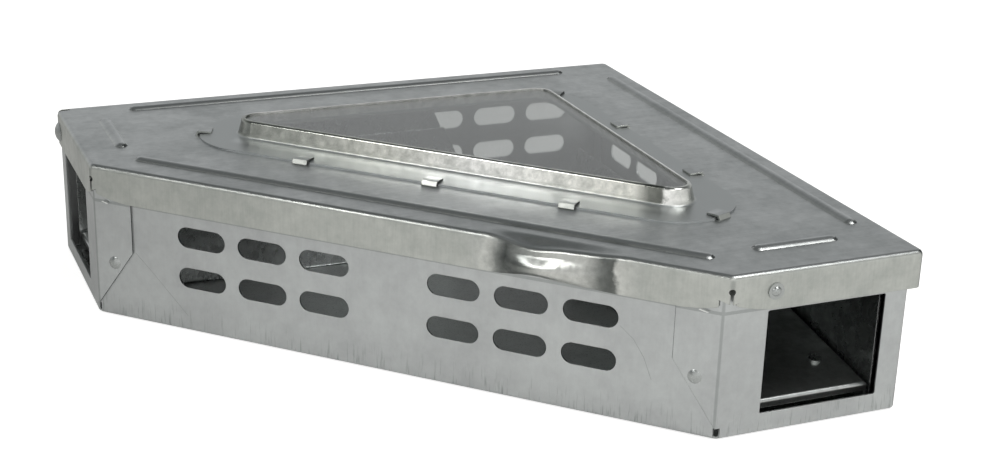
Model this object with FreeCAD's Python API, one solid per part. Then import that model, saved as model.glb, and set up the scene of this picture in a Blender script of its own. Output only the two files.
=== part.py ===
import FreeCAD, Part
import os
from math import asin, cos, radians, sin, sqrt, tan

# A corner bait and catch station of folded galvanised sheet.
# Plan: a right angle E at the back, legs E-A and E-D along the room's two walls,
# end faces A-B and C-D with the entrances, and a slanting front B-C.
# While it is built, E stands at (0, 0, 0), A lies towards -X, D towards -Y and up is +Z.

# Body
legLength = 243.0
endWidth = 72.0
sheet = 0.7
cornerRadius = 1.6
floorBend = 1.4
lidTop = 60.0
wallDrop = 1.9
hingeWallDrop = 3.7
innerTabWidth = 7.0
innerTabBottom = 6.0

# Folded tabs that wrap the front wall, and the relief cut at the foot of each fold
tabWidth = 16.0
tabStraightFoot = 27.0
tabLowFoot = 4.4
reliefRadius = 1.25
reliefHeight = 4.2

# Ventilation slots
slotLength = 19.8
slotHeight = 8.0
slotPitch = 25.15
slotRowPitch = 15.9
slotColumns = 3
slotRows = 2
frontRowHeight = 21.4
frontGroupStart = 25.1
rearRowHeight = 23.1
rearGroupStart = 26.7

# Entrances in the end faces, measured from the leg's outer face
entranceStart = 9.2
entranceEnd = 55.0
entranceSill = 7.3
entranceDrop = 15.1
entranceCorner = 0.6

# Lid
lidGap = 0.35
frontGap = 0.55
endSlack = 1.8
legSlack = 2.0
skirtDepth = 13.4
lidBend = 1.9
rearFlangeDepth = 2.9
skirtTaper = 16.0
skirtTaperRise = 4.0
skirtTaperBulge = 0.9
tongueTaper = 9.0
seamGap = 0.5
seamHoleDrop = 5.6
seamHoleRadius = 1.1
notchAlong = 4.0
notchAcross = 2.6
notchRim = 0.9

# Thumb scoop in the lid's front skirt, as sections along the front: how far along from the
# middle of the front, how far the bend is pressed down, how far the belly and the lower edge
# stand out, and how far the lower edge is drawn up
scoopSections = [(34.0, 0.0, 0.0, 0.0, 0.0), (39.0, 0.05, 0.1, 0.0, 0.05),
                 (46.0, 1.3, 1.2, 0.5, 0.7), (53.0, 2.4, 2.3, 1.0, 1.6),
                 (62.0, 1.7, 2.5, 0.9, 1.3), (72.0, 1.1, 1.9, 0.6, 0.8),
                 (81.0, 0.5, 0.8, 0.2, 0.3), (87.0, 0.05, 0.1, 0.0, 0.05),
                 (92.0, 0.0, 0.0, 0.0, 0.0)]
scoopReach = 6.0
scoopRelief = 4.2

# Raised beads on the lid
beadWidth = 5.0
beadHeight = 1.1
frontBeadInset = 12.4
frontBeadLeft = 107.5
frontBeadRight = 111.0
legBeadInset = 8.4
legBeadStart = 25.5
legBeadEnd = 29.0
endBeadInset = 14.5
rightBeadInset = 17.0
endBeadStart = 22.0
endBeadEnd = 54.0
rightBeadEnd = 50.0

# Window frame and pane
windowInset = 51.5
windowLegInset = 48.3
windowCorner = 8.0
collarHeight = 7.0
collarSpread = 0.9
frameSheet = 0.6
lipWidth = 1.4
collarBend = 1.2
flangeWidth = 15.5
apertureGap = 0.4
paneThickness = 1.4
paneGap = 0.12
nubRadius = 0.9
nubDepth = 0.3

# Tongues lanced out of the lid, which hold the frame's flange
tongueWidth = 6.0
tongueReach = 4.6
tongueRise = 0.25
tongueCrest = 1.5
seatGap = 0.05
lanceGap = 0.3
riserRun = 0.9
frontTonguePitch = 53.0
sideTongueNear = 90.0
sideTongueFar = 151.5

# Lid hinge rivets and the keeper stud
hingeInset = 5.0
hingeDrop = 8.0
hingeShank = 2.0
hingeHead = 4.0
hingeHeadHeight = 1.7
hingeTail = 3.0
tailHeight = 0.8
runningFit = 0.05
headFit = 0.08
keeperFromCorner = 17.4
keeperDrop = 7.0
keeperShank = 1.5
keeperHead = 1.9
keeperHeadHeight = 1.5
keeperCollar = 2.9
keeperCollarHeight = 0.45
keeperTail = 2.8
keeperSlotGap = 0.6

# Small buttons that close the folded tabs
buttonInset = 8.0
buttonHeight = 22.0
buttonHead = 2.5
buttonHeadHeight = 0.9
buttonShank = 1.5

# Tunnels behind the entrances
tunnelSheet = 0.7
tunnelSetback = 4.0
tunnelGap = 0.5
tunnelDrop = 5.6
tunnelBend = 1.2
tunnelOuterLength = 151.0
tunnelInnerLength = 141.5
tunnelEndLean = 7.0
tunnelLeanHeight = 15.0
tunnelFlange = 16.5
tunnelFlangeSkew = 6.0
tunnelRivetNear = 46.0
tunnelRivetFar = 128.0
tunnelRivetSpacing = 26.0
tunnelRivetShank = 1.5
tunnelRivetHead = 2.5
tunnelRivetHeadHeight = 0.8

# See-saw treadles inside the tunnels
treadleSheet = 0.7
treadleSetback = 4.4
treadleLength = 134.0
treadleFrontHeight = 9.6
treadleSlope = 8.5
treadleSideGap = 0.8
treadleLip = 2.4
treadleBend = 1.2
restGap = 0.3
pivotFromFront = 72.0
pivotDrop = 3.6
axleRadius = 1.5
axleEnd = 2.2
clipRadius = 3.8
clipThickness = 0.5
clipGap = 0.1

# Balance weight under each treadle's entrance end
weightFromFront = 12.0
weightDepth = 12.0
weightThickness = 3.4
weightSideGap = 4.0
weightRivetSpacing = 24.0
weightRivetShank = 1.5
weightRivetHead = 2.6
weightRivetHeadHeight = 0.8

vec = FreeCAD.Vector
up = vec(0, 0, 1)
root2 = sqrt(2)
margin = 5.0
wallTop = lidTop - wallDrop
hingeWallTop = lidTop - hingeWallDrop
entranceTop = lidTop - entranceDrop
skirtBottom = lidTop - skirtDepth
hingeHeight = lidTop - hingeDrop
keeperHeight = lidTop - keeperDrop
tunnelTop = lidTop - tunnelDrop
lidOver = lidGap + sheet
frontOver = frontGap + sheet
frontLine = -(legLength + endWidth)
halfFront = (legLength - endWidth) / root2
collarTop = lidTop + collarHeight


def roundedFace(points, radii):
    """A flat face in XY with each corner of the polygon rounded by its own radius."""
    starts, ends, mids = [], [], []
    count = len(points)
    for i, corner in enumerate(points):
        toBefore = (points[i - 1] - corner).normalize()
        toAfter = (points[(i + 1) % count] - corner).normalize()
        halfAngle = toBefore.getAngle(toAfter) / 2
        run = radii[i] / tan(halfAngle)
        bisector = (toBefore + toAfter).normalize()
        centre = corner + bisector * (radii[i] / sin(halfAngle))
        starts.append(corner + toBefore * run)
        ends.append(corner + toAfter * run)
        mids.append(centre - bisector * radii[i])
    edges = []
    for i in range(count):
        if radii[i] > 0:
            edges.append(Part.Arc(starts[i], mids[i], ends[i]).toShape())
        following = starts[(i + 1) % count]
        if (following - ends[i]).Length > 1e-6:
            edges.append(Part.LineSegment(ends[i], following).toShape())
    return Part.Face(Part.Wire(edges))


def prism(points, radius, low, high):
    """An upright prism with all its corners rounded alike."""
    flat = [vec(x, y, low) for x, y in points]
    return roundedFace(flat, [radius] * len(flat)).extrude(up * (high - low))


def box(x0, x1, y0, y1, z0, z1):
    return Part.makeBox(x1 - x0, y1 - y0, z1 - z0, vec(x0, y0, z0))


def edgesAt(shape, height):
    """The edges that lie flat at one height."""
    return [e for e in shape.Edges
            if abs(e.BoundBox.ZMin - height) < 1e-4 and abs(e.BoundBox.ZMax - height) < 1e-4]


def planPoints(side, front):
    """The plan A, B, C, D, E with its legs and ends inset by side and its front by front."""
    low = -legLength + side
    slant = frontLine + front * root2
    return [(low, -side), (low, slant - low), (slant - low, low), (-side, low), (-side, -side)]


def lidPoints(side, front):
    """The plan inset like planPoints, but standing further out at the right end and right leg."""
    cornerA, cornerB, cornerC, _, (_, backEdge) = planPoints(side, front)
    endLine = cornerC[1] - endSlack
    legLine = backEdge + legSlack
    return [cornerA, cornerB, (cornerC[0] + endSlack, endLine), (legLine, endLine),
            (legLine, backEdge)]


def windowPoints(offset):
    """The window's triangle, moved outwards by offset from the collar's outer face."""
    near = -windowLegInset + offset
    far = frontLine + (windowInset - offset) * root2 - near
    return [(far, near), (near, far), (near, near)]


def wallFrame(start, along):
    """A placement whose X runs along a wall, whose Y is up and whose Z leaves its outer face."""
    out = along.cross(up)
    matrix = FreeCAD.Matrix(along.x, up.x, out.x, start.x,
                            along.y, up.y, out.y, start.y,
                            along.z, up.z, out.z, start.z,
                            0, 0, 0, 1)
    return FreeCAD.Placement(matrix)


slantX = vec(1, -1, 0).normalize()
frontWall = wallFrame(vec(frontLine / 2, frontLine / 2, 0), slantX)
leftEnd = wallFrame(vec(-legLength, 0, 0), vec(0, -1, 0))
rightEnd = wallFrame(vec(0, -legLength, 0), vec(1, 0, 0))
leftLeg = wallFrame(vec(0, 0, 0), vec(-1, 0, 0))
rightLeg = wallFrame(vec(0, 0, 0), vec(0, 1, 0))


def onWall(frame, points, radius, inner, outer):
    """A prism drawn on a wall's face and standing from depth inner to depth outer."""
    flat = [vec(x, y, inner) for x, y in points]
    shape = roundedFace(flat, [radius] * len(flat)).extrude(up * (outer - inner))
    shape.Placement = frame.multiply(shape.Placement)
    return shape


def slotOn(frame, centre, height):
    halfLength = slotLength / 2
    halfHeight = slotHeight / 2
    points = [(centre - halfLength, height - halfHeight), (centre + halfLength, height - halfHeight),
              (centre + halfLength, height + halfHeight), (centre - halfLength, height + halfHeight)]
    return onWall(frame, points, halfHeight, -margin, margin)


def rivet(head, headHeight, shank, grip, tail, tailDepth):
    """A round-headed rivet along Z: dome above z = 0, shank down to -grip, tail below it."""
    ball = (head ** 2 + headHeight ** 2) / (2 * headHeight)
    half = asin(head / ball) / 2
    crown = vec(0, 0, headHeight)
    middle = vec(ball * sin(half), 0, headHeight - ball + ball * cos(half))
    corners = [vec(head, 0, 0), vec(shank, 0, 0), vec(shank, 0, -grip), vec(tail, 0, -grip),
               vec(tail, 0, -grip - tailDepth), vec(0, 0, -grip - tailDepth), crown]
    edges = [Part.Arc(crown, middle, corners[0]).toShape()]
    for a, b in zip(corners, corners[1:]):
        if a != b:
            edges.append(Part.LineSegment(a, b).toShape())
    return Part.Face(Part.Wire(edges)).revolve(vec(0, 0, 0), up, 360)


def flatRivet(head, headHeight, shank, grip, tail, tailDepth):
    """A flat-headed rivet along Z, its head above z = 0."""
    parts = [Part.makeCylinder(head, headHeight), Part.makeCylinder(shank, grip, vec(0, 0, -grip))]
    if tailDepth:
        parts.append(Part.makeCylinder(tail, tailDepth, vec(0, 0, -grip - tailDepth)))
    return parts[0].fuse(parts[1:]).removeSplitter()


def placed(shape, frame, x, y, depth):
    """The shape moved to (x, y, depth) in a wall's own frame."""
    shape = shape.copy()
    shape.Placement = frame.multiply(FreeCAD.Placement(vec(x, y, depth), FreeCAD.Rotation()))
    return shape


def boreOn(frame, x, y, radius, inner, outer):
    bore = Part.makeCylinder(radius, outer - inner)
    return placed(bore, frame, x, y, inner)


def swapLegs(shape):
    """The mirror image of a left-leg piece, for the right leg."""
    return shape.mirror(vec(0, 0, 0), vec(1, -1, 0).normalize())


def sideBox(x0, x1, across0, across1, z0, z1):
    """A box beside the left leg, its second direction measured inwards from the leg's face."""
    return box(x0, x1, -across1, -across0, z0, z1)


# Tray: floor and five walls of one folded blank
tray = prism(planPoints(0, sheet), cornerRadius, 0, wallTop)
tray = tray.makeFillet(floorBend, edgesAt(tray, 0))
hollow = prism(planPoints(sheet, 2 * sheet), cornerRadius - sheet, sheet, wallTop + margin)
hollow = hollow.makeFillet(floorBend - sheet, edgesAt(hollow, sheet))
tray = tray.cut(hollow)

# The end walls' tabs fold round the corners B and C onto the front wall
foldSleeve = prism(planPoints(0, 0), cornerRadius, 0, wallTop)
foldSleeve = foldSleeve.cut(prism(planPoints(0, sheet), cornerRadius, -margin, wallTop + margin))
tabSlope = (tabStraightFoot - tabLowFoot) / tabWidth
tabOutline = [(halfFront + margin, tabLowFoot - tabSlope * margin),
              (halfFront - tabWidth, tabStraightFoot), (halfFront - tabWidth, wallTop + margin),
              (halfFront + margin, wallTop + margin)]
for side in (1, -1):
    outline = [(side * x, y) for x, y in tabOutline]
    tray = tray.fuse(foldSleeve.common(onWall(frontWall, outline, 0, -margin, margin)))

# Inner tabs, spot-welded inside the corners A, E and D
innerTab = sideBox(-legLength + sheet, -legLength + 2 * sheet, sheet, sheet + innerTabWidth,
                   innerTabBottom, hingeWallTop)
backTab = box(-2 * sheet, -sheet, -sheet - innerTabWidth, -sheet, innerTabBottom, hingeWallTop)
tray = tray.fuse([innerTab, swapLegs(innerTab), backTab])

# The hinge side stands lower, so that the lid's edge swings past it
tray = tray.cut(box(-legLength - margin, margin, -hingeInset - hingeHead, margin,
                    hingeWallTop, wallTop + margin))

cuts = []
entrance = [(entranceStart, entranceSill), (entranceEnd, entranceSill),
            (entranceEnd, entranceTop), (entranceStart, entranceTop)]
cuts.append(onWall(leftEnd, entrance, entranceCorner, -margin, margin))
cuts.append(onWall(rightEnd, [(-x, y) for x, y in entrance], entranceCorner, -margin, margin))
for column in range(slotColumns):
    for row in range(slotRows):
        rise = row * slotRowPitch
        front = frontGroupStart + column * slotPitch
        rear = rearGroupStart + column * slotPitch
        cuts.append(slotOn(frontWall, front, frontRowHeight + rise))
        cuts.append(slotOn(frontWall, -front, frontRowHeight + rise))
        cuts.append(slotOn(leftLeg, rear, rearRowHeight + rise))
        cuts.append(slotOn(rightLeg, -rear, rearRowHeight + rise))
for side in (1, -1):
    cuts.append(boreOn(frontWall, side * (halfFront - buttonInset), buttonHeight, buttonShank,
                       -margin, margin))
for x, y in planPoints(0, sheet)[1:3]:
    cuts.append(Part.makeCylinder(reliefRadius, reliefHeight + margin, vec(x, y, -margin)))
scoopStart, scoopEnd = scoopSections[0][0], scoopSections[-1][0]
recess = [(scoopStart, lidTop - scoopRelief), (scoopEnd, lidTop - scoopRelief),
          (scoopEnd, lidTop), (scoopStart, lidTop)]
cuts.append(onWall(frontWall, recess, 0, -3 * sheet, margin))
cuts.append(boreOn(leftEnd, hingeInset, hingeHeight, hingeShank, -margin, margin))
cuts.append(boreOn(rightLeg, -hingeInset, hingeHeight, hingeShank, -margin, margin))
keeperAlong = keeperFromCorner - endWidth
keeperSlotHalf = keeperShank + keeperSlotGap
cuts.append(boreOn(rightEnd, keeperAlong, keeperHeight, keeperSlotHalf, -margin, margin))
cuts.append(box(keeperAlong - keeperSlotHalf, keeperAlong + keeperSlotHalf,
                -legLength - margin, -legLength + margin, keeperHeight, wallTop + margin))
tunnelMiddle = (entranceStart + entranceEnd) / 2
tunnelRivetSpots = [(-legLength + along, -tunnelMiddle + side * tunnelRivetSpacing / 2)
                    for along in (tunnelRivetNear, tunnelRivetFar) for side in (1, -1)]
tunnelRivetBores = []
for x, y in tunnelRivetSpots:
    bore = Part.makeCylinder(tunnelRivetShank, 2 * margin, vec(x, y, -margin))
    tunnelRivetBores += [bore, swapLegs(bore)]
tray = tray.cut(cuts + tunnelRivetBores).removeSplitter()

# Buttons through the folded tabs
button = rivet(buttonHead, buttonHeadHeight, buttonShank, 2 * sheet, buttonHead, tailHeight)
tabButtons = [placed(button, frontWall, side * (halfFront - buttonInset), buttonHeight, 0)
              for side in (1, -1)]

# Lid: a shallow folded pan over the tray
lid = prism(lidPoints(-lidOver, -frontOver), cornerRadius + lidOver, skirtBottom, lidTop)
lid = lid.makeFillet(lidBend, edgesAt(lid, lidTop))
lidHollow = prism(lidPoints(-lidGap, -frontGap), cornerRadius + lidGap, skirtBottom - margin,
                  lidTop - sheet)
lidHollow = lidHollow.makeFillet(lidBend - sheet, edgesAt(lidHollow, lidTop - sheet))
lid = lid.cut(lidHollow)

# The hinge side keeps only a narrow flange, with a hole punched beside its bend at A
lid = lid.cut([box(-legLength - lidGap, lidGap + legSlack, -margin, margin,
                   skirtBottom - margin, lidTop - rearFlangeDepth),
               box(-legLength - margin, -legLength + notchAlong, -notchAcross,
                   lidOver - notchRim, skirtBottom, lidTop + margin)])

# Skirts taper towards the slanting corners
lidHalf = halfFront + lidOver * (root2 - 1)
endReach = endWidth + lidOver * (root2 - 1)
rightHalf = lidHalf + endSlack * root2
rightReach = endReach - endSlack


def taperCut(frame, corner, outwards, length):
    """What a skirt's lower edge loses near a corner, bounded by a bowed line."""
    foot = vec(corner - outwards * length, skirtBottom, 0)
    tip = vec(corner + outwards * margin, skirtBottom + skirtTaperRise * (1 + margin / length), 0)
    chord = tip - foot
    bow = vec(outwards * chord.y, -abs(chord.x), 0).normalize() * skirtTaperBulge
    under = vec(0, skirtBottom + margin, 0)
    low = [tip, tip - under, foot - under, foot]
    edges = [Part.LineSegment(start, end).toShape() for start, end in zip(low, low[1:])]
    edges.append(Part.Arc(foot, (foot + tip) / 2 + bow, tip).toShape())
    flat = Part.Face(Part.Wire(edges))
    flat.translate(up * -sheet)
    shape = flat.extrude(up * (margin + sheet))
    shape.Placement = frame.multiply(shape.Placement)
    return shape


lidCuts = [taperCut(frontWall, rightHalf, 1, skirtTaper),
           taperCut(frontWall, -lidHalf, -1, skirtTaper),
           taperCut(rightEnd, -rightReach, -1, skirtTaper),
           taperCut(leftEnd, endReach, 1, tongueTaper)]

# Each slanting corner is an open seam from the lower edge up to a round relief hole
seamHole = lidTop - seamHoleDrop
for corner, along in zip(lidPoints(-lidOver, -frontOver)[1:3], (vec(1, root2 - 1, 0),
                                                               vec(root2 - 1, 1, 0))):
    inwards = vec(*corner, 0) + along * margin
    outwards = vec(*corner, 0) - along * margin
    lidCuts.append(Part.makeCylinder(seamHoleRadius, (outwards - inwards).Length,
                                     inwards + up * seamHole, outwards - inwards))
    across = along.cross(up).normalize() * seamGap
    foot = up * (skirtBottom - margin)
    ring = [outwards + across + foot, inwards + across + foot, inwards - across + foot,
            outwards - across + foot]
    slit = Part.Face(Part.makePolygon(ring + ring[:1]))
    lidCuts.append(slit.extrude(up * (seamHole - skirtBottom + margin)))
lidCuts.append(boreOn(leftEnd, hingeInset, hingeHeight, hingeShank + runningFit, 0, margin))
lidCuts.append(boreOn(rightLeg, -hingeInset, hingeHeight, hingeShank + runningFit, 0, margin))
lidCuts.append(boreOn(rightEnd, keeperAlong, keeperHeight, keeperShank, 0, margin))
lidCuts.append(prism(windowPoints(apertureGap), windowCorner + apertureGap,
                     lidTop - margin, lidTop + margin))
lid = lid.cut(lidCuts)


def bezier(points):
    curve = Part.BezierCurve()
    curve.setPoles(points)
    return curve.toShape()


def skirtSection(along, press, belly, flare, lift):
    """The cross-section of the lid's front edge at one place, in the front wall's frame."""
    shoulder = frontOver - lidBend
    centre = lidTop - press - lidBend
    middle = (shoulder - scoopReach) / 2
    foot = skirtBottom + lift
    quarter = (centre - foot) / 4
    half45 = sqrt(0.5)
    curves = []
    for inset in (0, sheet):
        radius = lidBend - inset
        face = frontOver - inset
        top = [vec(along, lidTop - inset, -scoopReach), vec(along, lidTop - inset, middle),
               vec(along, lidTop - press - inset, middle),
               vec(along, lidTop - press - inset, shoulder)]
        side = [vec(along, centre, face), vec(along, centre - quarter, face),
                vec(along, centre - 2 * quarter, face + 2 * belly),
                vec(along, foot + quarter, face + flare + belly), vec(along, foot, face + flare)]
        mid = vec(along, centre + radius * half45, shoulder + radius * half45)
        curves.append((bezier(top), Part.Arc(top[-1], mid, side[0]).toShape(), bezier(side),
                       top[0], side[-1]))
    outer, inner = curves
    return Part.Wire([outer[0], outer[1], outer[2],
                      Part.LineSegment(outer[4], inner[4]).toShape(),
                      inner[2], inner[1], inner[0],
                      Part.LineSegment(inner[3], outer[3]).toShape()])


# The front edge is pressed down and its skirt bulged out where a thumb lifts the lid
scoopZone = [(scoopStart, skirtBottom - margin), (scoopEnd, skirtBottom - margin),
             (scoopEnd, lidTop + margin), (scoopStart, lidTop + margin)]
lid = lid.cut(onWall(frontWall, scoopZone, 0, -scoopReach, margin))
scoop = Part.makeLoft([skirtSection(*section) for section in scoopSections], True, False)
scoop.Placement = frontWall.multiply(scoop.Placement)
lid = lid.fuse(scoop)


def roundBar(start, end, radius):
    """A bar with ball ends, its centre line from start to end."""
    along = (end - start).normalize()
    corner = sqrt(0.5) * radius
    first, last = start - along * radius, end + along * radius
    overStart, overEnd = start + up * radius, end + up * radius
    edges = [Part.Arc(first, start + (up - along) * corner, overStart).toShape(),
             Part.LineSegment(overStart, overEnd).toShape(),
             Part.Arc(overEnd, end + (up + along) * corner, last).toShape(),
             Part.LineSegment(last, first).toShape()]
    return Part.Face(Part.Wire(edges)).revolve(start, along, 360)


# Raised beads pressed into the lid, each a low mound cut from a round-ended bar
towardsInside = vec(1, 1, 0).normalize()
frontMiddle = vec(frontLine / 2, frontLine / 2, 0)
beadMiddle = frontMiddle + towardsInside * frontBeadInset
endBeadX = -legLength + endBeadInset
rightBeadY = -legLength + rightBeadInset
rightBeadX = legSlack - legBeadInset
beads = [(beadMiddle - slantX * frontBeadLeft, beadMiddle + slantX * frontBeadRight),
         (vec(-legLength + legBeadEnd, -legBeadInset, 0), vec(-legBeadStart, -legBeadInset, 0)),
         (vec(rightBeadX, -legLength + legBeadEnd, 0), vec(rightBeadX, -legBeadStart, 0)),
         (vec(endBeadX, -endBeadStart, 0), vec(endBeadX, -endBeadEnd, 0)),
         (vec(-endBeadStart, rightBeadY, 0), vec(-rightBeadEnd, rightBeadY, 0))]
beadBall = (beadWidth ** 2 / 4 + beadHeight ** 2) / (2 * beadHeight)
beadCentre = lidTop + beadHeight - beadBall
topSkin = prism(planPoints(0, 0), 0, lidTop - sheet / 2, lidTop + margin)
for start, end in beads:
    low, high = start + up * beadCentre, end + up * beadCentre
    lid = lid.fuse(roundBar(low, high, beadBall).common(topSkin))
    lid = lid.cut(roundBar(low, high, beadBall - sheet))


# Tongues lanced out of the lid and joggled up over the frame's flange
def lidTongue(edge, inward):
    """A humped tongue that reaches inwards from the flange's edge, and its opening."""
    low = lidTop + frameSheet + seatGap
    crest = low + tongueRise
    foot = -riserRun - sheet
    side = [vec(foot, 0, lidTop - sheet), vec(foot, 0, lidTop), vec(-sheet, 0, crest + sheet),
            vec(tongueCrest, 0, crest + sheet), vec(tongueReach, 0, low + sheet),
            vec(tongueReach, 0, low), vec(tongueCrest, 0, crest), vec(-seatGap * 2, 0, crest),
            vec(-riserRun, 0, lidTop - sheet)]
    face = Part.Face(Part.makePolygon(side + side[:1]))
    tongue = face.extrude(vec(0, tongueWidth, 0))
    openWidth = tongueWidth + 2 * lanceGap
    opening = box(-riserRun, tongueReach + lanceGap, -lanceGap, openWidth - lanceGap,
                  lidTop - margin, lidTop + margin)
    across = up.cross(inward)
    matrix = FreeCAD.Matrix(inward.x, across.x, 0, edge.x - across.x * tongueWidth / 2,
                            inward.y, across.y, 0, edge.y - across.y * tongueWidth / 2,
                            0, 0, 1, 0,
                            0, 0, 0, 1)
    for shape in (tongue, opening):
        shape.Placement = FreeCAD.Placement(matrix)
    return tongue, opening


def windowCornerCentre(index):
    """The centre of the arc at one corner of the window."""
    points = [vec(x, y, 0) for x, y in windowPoints(0)]
    toBefore = (points[index - 1] - points[index]).normalize()
    toAfter = (points[(index + 1) % 3] - points[index]).normalize()
    bisector = (toBefore + toAfter).normalize()
    return points[index] + bisector * (windowCorner / sin(toBefore.getAngle(toAfter) / 2)), bisector


flangeEdge = windowInset - flangeWidth
flangeLegEdge = windowLegInset - flangeWidth
tongues = []
for pitch in (-frontTonguePitch, 0, frontTonguePitch):
    edge = frontMiddle + towardsInside * flangeEdge + slantX * pitch
    tongues.append(lidTongue(edge, towardsInside))
for place in (sideTongueNear, sideTongueFar):
    tongues.append(lidTongue(vec(-place, -flangeLegEdge, 0), vec(0, -1, 0)))
    tongues.append(lidTongue(vec(-flangeLegEdge, -place, 0), vec(-1, 0, 0)))
for index in range(3):
    centre, bisector = windowCornerCentre(index)
    tongues.append(lidTongue(centre - bisector * (windowCorner + flangeWidth), bisector))
lid = lid.cut([opening for _, opening in tongues])
lid = lid.fuse([tongue for tongue, _ in tongues]).removeSplitter()


def windowPrism(offset, low, high):
    return prism(windowPoints(offset), windowCorner + offset, low, high)


def collarOffset(height):
    """How far the collar's outer face stands out from its middle line at one height."""
    return collarSpread * (1 - 2 * (height - lidTop) / collarHeight)


def collarSolid(inset, low, high):
    """The leaning collar filled in, inset from its outer face."""
    wires = []
    for height in (low, high):
        offset = collarOffset(height) - inset
        flat = [vec(x, y, height) for x, y in windowPoints(offset)]
        wires.append(roundedFace(flat, [windowCorner + offset] * 3).OuterWire)
    return Part.makeLoft(wires, True, True)


# Window frame: a drawn, leaning collar with a flange below and a lip above
collar = collarSolid(0, lidTop, collarTop)
collar = collar.makeFillet(collarBend, edgesAt(collar, collarTop))
flange = windowPrism(flangeWidth, lidTop, lidTop + frameSheet)
frame = flange.fuse(collar)
frame = frame.makeFillet(collarBend, [e for e in edgesAt(frame, lidTop + frameSheet)
                                      if e.distToShape(collar)[0] < runningFit])
well = collarSolid(frameSheet, lidTop - margin, collarTop - frameSheet)
opening = windowPrism(-collarSpread - lipWidth, lidTop - margin, collarTop + margin)
frame = frame.cut([well, opening])

# Clear pane under the lip, held up by nubs pressed in from the collar
paneTop = collarTop - frameSheet - seatGap
paneBottom = paneTop - paneThickness
pane = windowPrism(collarOffset(paneTop) - frameSheet - paneGap, paneBottom, paneTop)
nubHeight = paneBottom - seatGap - nubRadius
nubStandOff = frameSheet - nubDepth - collarOffset(nubHeight)
nubSpots = [frontMiddle + towardsInside * (windowInset + nubStandOff) + slantX * pitch
            for pitch in (-frontTonguePitch, frontTonguePitch)]
for place in (sideTongueNear, sideTongueFar):
    nubInset = windowLegInset + nubStandOff
    nubSpots += [vec(-place, -nubInset, 0), vec(-nubInset, -place, 0)]
collarInside = collarSolid(frameSheet / 2, lidTop, paneBottom)
for spot in nubSpots:
    nub = Part.makeSphere(nubRadius, spot + up * nubHeight)
    frame = frame.fuse(nub.common(collarInside))
frame = frame.removeSplitter()

# Hinge rivets, clinched in the tray and free in the lid's skirt
hingeRivet = rivet(hingeHead, hingeHeadHeight, hingeShank, lidOver + headFit + 2 * sheet,
                   hingeTail, tailHeight)
longHingeRivet = rivet(hingeHead, hingeHeadHeight, hingeShank,
                       lidOver + legSlack + headFit + 2 * sheet, hingeTail, tailHeight)
hingeRivets = [placed(hingeRivet, leftEnd, hingeInset, hingeHeight, lidOver + headFit),
               placed(longHingeRivet, rightLeg, -hingeInset, hingeHeight,
                      lidOver + legSlack + headFit)]

# Keeper stud: a small dome on a flat collar, clinched in the lid's skirt, whose tail drops
# behind the end wall
keeperGrip = lidOver + endSlack + sheet + lidGap
keeperStud = rivet(keeperHead, keeperHeadHeight, keeperShank, keeperGrip, keeperTail, tailHeight)
keeperStud = keeperStud.fuse(Part.makeCylinder(keeperCollar, keeperCollarHeight)).removeSplitter()
keeper = placed(keeperStud, rightEnd, keeperAlong, keeperHeight, lidOver + endSlack)

# Tunnel: floor and two side plates of one sheet, with a flange on the leg side
tunnelStart = -legLength + tunnelSetback
nearPlate = entranceStart - tunnelGap - tunnelSheet
farPlate = entranceEnd + tunnelGap + tunnelSheet
tunnelFloor = sheet + tunnelSheet


def sidePlate(across0, across1, length):
    """An upright plate whose inner end leans back near the top."""
    end = tunnelStart + length
    outline = [vec(tunnelStart, -across0, sheet), vec(end + tunnelEndLean, -across0, sheet),
               vec(end + tunnelEndLean, -across0, tunnelTop - tunnelLeanHeight),
               vec(end, -across0, tunnelTop), vec(tunnelStart, -across0, tunnelTop)]
    face = Part.Face(Part.makePolygon(outline + outline[:1]))
    return face.extrude(vec(0, across0 - across1, 0))


innerEnd = tunnelStart + tunnelInnerLength + tunnelEndLean
outerEnd = tunnelStart + tunnelOuterLength
trough = sideBox(tunnelStart, innerEnd, nearPlate, farPlate, sheet, tunnelTop)
trough = trough.makeFillet(tunnelBend, [e for e in edgesAt(trough, sheet)
                                        if e.BoundBox.XLength > margin])
troughHollow = sideBox(tunnelStart - margin, innerEnd + margin, nearPlate + tunnelSheet,
                       farPlate - tunnelSheet, tunnelFloor, tunnelTop + margin)
troughHollow = troughHollow.makeFillet(tunnelBend - tunnelSheet,
                                       [e for e in edgesAt(troughHollow, tunnelFloor)
                                        if e.BoundBox.XLength > margin])
trough = trough.cut(troughHollow)
trough = trough.common(sideBox(tunnelStart, innerEnd, nearPlate, farPlate, 0, tunnelFloor
                               + tunnelBend))
plates = [sidePlate(nearPlate, nearPlate + tunnelSheet, tunnelOuterLength),
          sidePlate(farPlate - tunnelSheet, farPlate, tunnelInnerLength)]
lowCorners = box(tunnelStart - margin, outerEnd + 2 * margin, -farPlate - margin, margin,
                 0, tunnelFloor + tunnelBend)
flangeTip = nearPlate + tunnelFlange
flangeFace = [vec(tunnelStart, -nearPlate, tunnelTop), vec(outerEnd, -nearPlate, tunnelTop),
              vec(outerEnd - tunnelFlangeSkew, -flangeTip, tunnelTop),
              vec(tunnelStart, -flangeTip, tunnelTop)]
topFlange = Part.Face(Part.makePolygon(flangeFace + flangeFace[:1])).extrude(up * -tunnelSheet)
leftTunnel = trough.fuse([plate.cut(lowCorners) for plate in plates] + [topFlange])

# Axle height and place follow from the treadle's front edge at rest
slope = radians(treadleSlope)
pivotHeight = treadleFrontHeight + pivotFromFront * sin(slope) - pivotDrop * cos(slope)
pivotX = -legLength + treadleSetback + pivotFromFront * cos(slope) + pivotDrop * sin(slope)
axleBore = Part.makeCylinder(axleRadius, farPlate + 2 * margin, vec(pivotX, margin, pivotHeight),
                             vec(0, -1, 0))
leftTunnel = leftTunnel.cut([axleBore] + tunnelRivetBores).removeSplitter()

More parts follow.
